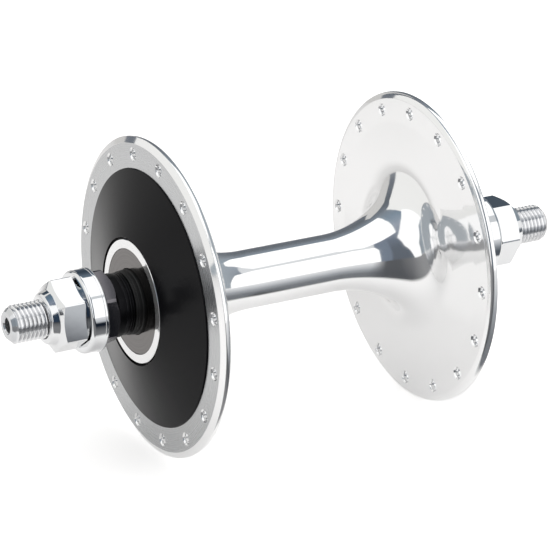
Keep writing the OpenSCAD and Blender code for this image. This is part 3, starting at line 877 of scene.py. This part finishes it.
def ramp(tree, value, stops):
    """A colour for each value, blended between stops of (value, hex colour)."""
    low, high = stops[0][0], stops[-1][0]
    share = spread(tree, value, low, high)
    made = add(tree, "ValToRGB", {"Fac": share})
    elements = made.color_ramp.elements
    for at, _ in stops[1:-1]:
        elements.new((at - low) / (high - low))
    for element, (_, hex_value) in zip(elements, stops):
        element.color = colour(hex_value)
    return made

# %% [markdown]
# ## The dark room
# The dark room is one sheet bent round the hub like a tunnel. Its tone follows one ramp round
# the axle, and gets lighter towards both ends.

# %% Material of the room
ROOM_START, ROOM_END = -108, 100
room_dark, tree = new_material("room_dark")
angle, lean = seen_from(tree, (0, 0, 0))
around = ramp(tree, angle, [
    (ROOM_START, "#A2A6AA"), (-85, "#555D69"), (-62, "#36434F"), (-50, "#4C5865"), (-40, "#63717F"),
    (-20, "#687F92"), (5, "#8A95A5"), (38, "#43546A"), (60, "#2E3F52"), (ROOM_END, "#313E50")])
ends_mix = ramp(tree, lean, [(-0.95, "#FFFFFF"), (-0.6, "#000000"), (0.5, "#000000"), (0.85, "#FFFFFF")])
tone = blend(tree, ends_mix, around, colour("#909BA4"))
glow = add(tree, "Emission", {"Color": tone})
add(tree, "OutputMaterial", {"Surface": glow})

# %% [markdown]
# ## The tunnel
# The tunnel starts as one edge along the axle, above the hub. It is turned back to where the
# room starts and spun from there to where the room ends.

# %% Bend the room round the hub
ROOM_R, ROOM_LEFT, ROOM_RIGHT = 1.3, -9, 6
tunnel = bmesh.new()
tunnel.edges.new([tunnel.verts.new((0, y, ROOM_R)) for y in (ROOM_LEFT, ROOM_RIGHT)])
bmesh.ops.rotate(tunnel, verts=tunnel.verts, cent=(0, 0, 0),
                 matrix=Matrix.Rotation(math.radians(ROOM_START), 3, AXLE))
bmesh.ops.spin(tunnel, geom=tunnel.verts[:] + tunnel.edges[:], cent=(0, 0, 0), axis=AXLE,
               angle=math.radians(ROOM_END - ROOM_START), steps=48)
place_card("dark_tunnel", tunnel, room_dark)

# %% [markdown]
# ## Softboxes
# The softboxes hang in front of the dark room. Their outlines follow the bright bands that the
# photograph shows on the barrel. A slightly greyer sheet fills the gap between the two, and a
# faint blue-grey glow lies to the left of the front one.

# %% Hang the softboxes
white_card = card_material("card_white", "#FFFFFF", 1.3)
bright_card = card_material("card_bright", "#FFFFFF", 1.2)
pale_card = card_material("card_pale", "#F8F8F6")
warm_card = card_material("card_warm", "#CCCBC9")
gap_card = card_material("card_between", "#DADDE0")
glow_card = card_material("card_glow", "#56677C")
soft_card("upper_softbox", [
    (-37, -0.07), (-27, -0.16), (-18, -0.225), (-11, -0.285), (-2, -0.34), (8, -0.39), (22, -0.435),
    (28, -0.33), (34, -0.2), (37, -0.08), (40, 0.06), (36, 0.2), (32, 0.44), (5, 0.66), (-4, 0.74),
    (-20, 0.72), (-32, 0.6), (-30, 0.42)], distance=1.0, material=white_card, rim=0.09)
soft_card("front_softbox", [
    (48, -0.17), (97, -0.165), (100, 0.42), (97, 0.79), (44, 0.72), (40, 0.45), (41, 0.25),
    (45, 0.06)], distance=1.02, material=white_card, rim=0.06)
soft_card("softbox_gap", [
    (30, -0.11), (54, -0.11), (50, 0.3), (44, 0.62), (14, 0.64), (22, 0.4)],
    distance=1.12, material=gap_card, rim=0.1)
soft_card("softbox_glow", [
    (34, -0.1), (104, -0.1), (104, -0.31), (34, -0.3)], distance=1.15, material=glow_card, rim=0.12)

# %% [markdown]
# ## Walls
# A white wall stands to the left of the hub. It runs on behind the hub, further away, and a
# warm grey wall closes the studio at the back.

# %% Put up the walls
soft_card("left_wall", [
    (-26, -0.505), (0, -0.47), (20, -0.475), (36, -0.455), (60, -0.545), (80, -0.63), (102, -0.7),
    (107, -0.83), (60, -0.85), (10, -0.88), (-22, -0.9)], distance=0.8, material=bright_card, rim=0.045)
soft_card("left_wall_back", [
    (-43, -0.165), (-59, -0.19), (-71, -0.29), (-82, -0.4), (-100, -0.5), (-125, -0.5), (-125, -0.96),
    (-10, -0.96), (-20, -0.6), (-24, -0.46), (-32, -0.3)], distance=1.22, material=pale_card, rim=0.05)
soft_card("back_wall", [
    (-112, 0.43), (-94, 0.41), (-83, 0.29), (-74, 0.2), (-57, 0.14), (-51, 0.07), (-56, 0.0),
    (-72, -0.06), (-79, -0.14), (-84, -0.24), (-89, -0.32), (-95, -0.4), (-101, -0.46),
    (-125, -0.5)], distance=1.25, material=warm_card, rim=0.13)

# %% [markdown]
# ## Dark strip before the hub
# The white table ended just in front of the hub, and the barrel shows that edge as a dark band
# along its underside. A dark strip above the floor makes the same edge in the reflections. Light
# is painted into its glow: all but its left part is lighter, as if the front softbox lit it, most
# of all along the edge, and its far left end is lighter too. The strip is so near that its tones
# are placed as the right end of the barrel sees them. It fades in over a few millimetres, because
# the edge was out of focus.

# %% Material of the strip
STRIP_SEEN_FROM = Vector((10, 27, -8)) * MM
STRIP_EDGE, STRIP_FADE = 30 * MM, 7 * MM
strip_dark, tree = new_material("strip_dark")
angle, lean = seen_from(tree, STRIP_SEEN_FROM)
# Painted light: the strip's own glow is lighter where the front softbox would light it.
painted_sheen = ramp(tree, angle, [
    (92, "#EDEEF0"), (100, "#C8CBCF"), (110, "#91969C"), (122, "#5A6067"), (142, "#555A61")])
painted_lit_share = spread(tree, lean, -0.28, -0.08)
far_left = spread(tree, lean, -0.45, -0.85)
tone = blend(tree, painted_lit_share, colour("#161E2A"), painted_sheen)
tone = blend(tree, far_left, tone, colour("#838486"))
glow = add(tree, "Emission", {"Color": tone})
place = add(tree, "SeparateXYZ", {0: add(tree, "TexCoord").outputs["Object"]})
fade = spread(tree, place.outputs["X"], STRIP_EDGE, STRIP_EDGE + STRIP_FADE)
clear = add(tree, "BsdfTransparent")
mixed = add(tree, "MixShader", {0: fade, 1: clear, 2: glow})
add(tree, "OutputMaterial", {"Surface": mixed})

# %% [markdown]
# ## Laying the strip
# The strip is a long sheet that lies a hair above the height of the rims' lowest points, so it
# covers the floor in every reflection.

# %% Dark strip in front
STRIP_HALF, STRIP_STRETCH, STRIP_TO_RIGHT, STRIP_LIFT = 0.7, 3, 0.3, 0.2
strip = bmesh.new()
bmesh.ops.create_grid(strip, x_segments=1, y_segments=1, size=STRIP_HALF)
bmesh.ops.scale(strip, vec=(1, STRIP_STRETCH, 1), verts=strip.verts)
bmesh.ops.translate(strip, verts=strip.verts,
                    vec=(STRIP_HALF + STRIP_EDGE, STRIP_TO_RIGHT, (STRIP_LIFT - FLANGE_R) * MM))
place_card("dark_strip", strip, strip_dark)

# %% [markdown]
# ## Soft light
# Two large area lamps stand where the softboxes are and light the hub and the floor softly.
# They are hidden from reflections, because the cards already show there.

# %% Lamps
def softbox_lamp(name, angle, lean, width, height, watts):
    """An area lamp a metre from the hub, turned towards it."""
    lamp = bpy.data.objects.new(name, bpy.data.lights.new(name, "AREA"))
    lamp.data.shape = "RECTANGLE"
    lamp.data.size = width
    lamp.data.size_y = height
    lamp.data.energy = watts
    lamp.location = direction(angle, lean)
    lamp.rotation_mode = "QUATERNION"
    lamp.rotation_quaternion = lamp.location.to_track_quat("Z", "Y")
    lamp.visible_camera = False
    lamp.visible_glossy = False
    bpy.context.scene.collection.objects.link(lamp)
    print("lamp", name, watts, "watts")


softbox_lamp("upper_lamp", angle=-5, lean=0.1, width=1.1, height=1.0, watts=3.4)
softbox_lamp("front_lamp", angle=68, lean=0.3, width=0.8, height=1.1, watts=2.6)

# %% [markdown]
# ## White world
# The world adds an even fill, and is white for everything that looks straight at it: the
# camera, a reflection, or a look through something clear.

# %% World
FILL, WHITE = 0.65, 1.0
world = bpy.data.worlds.new("white_studio")
bpy.context.scene.world = world
world.use_nodes = True
tree = world.node_tree
tree.nodes.clear()
seen = add(tree, "LightPath")
looks = add(tree, "Math", {0: seen.outputs["Is Camera Ray"], 1: seen.outputs["Is Glossy Ray"]},
            operation="ADD")
looks = add(tree, "Math", {0: looks, 1: seen.outputs["Is Transmission Ray"]},
            operation="ADD", use_clamp=True)
brightness = spread(tree, looks, 0, 1, FILL, WHITE)
air = add(tree, "Background", {"Color": (1, 1, 1, 1), "Strength": brightness})
add(tree, "OutputWorld", {"Surface": air})
print("world", world.name)
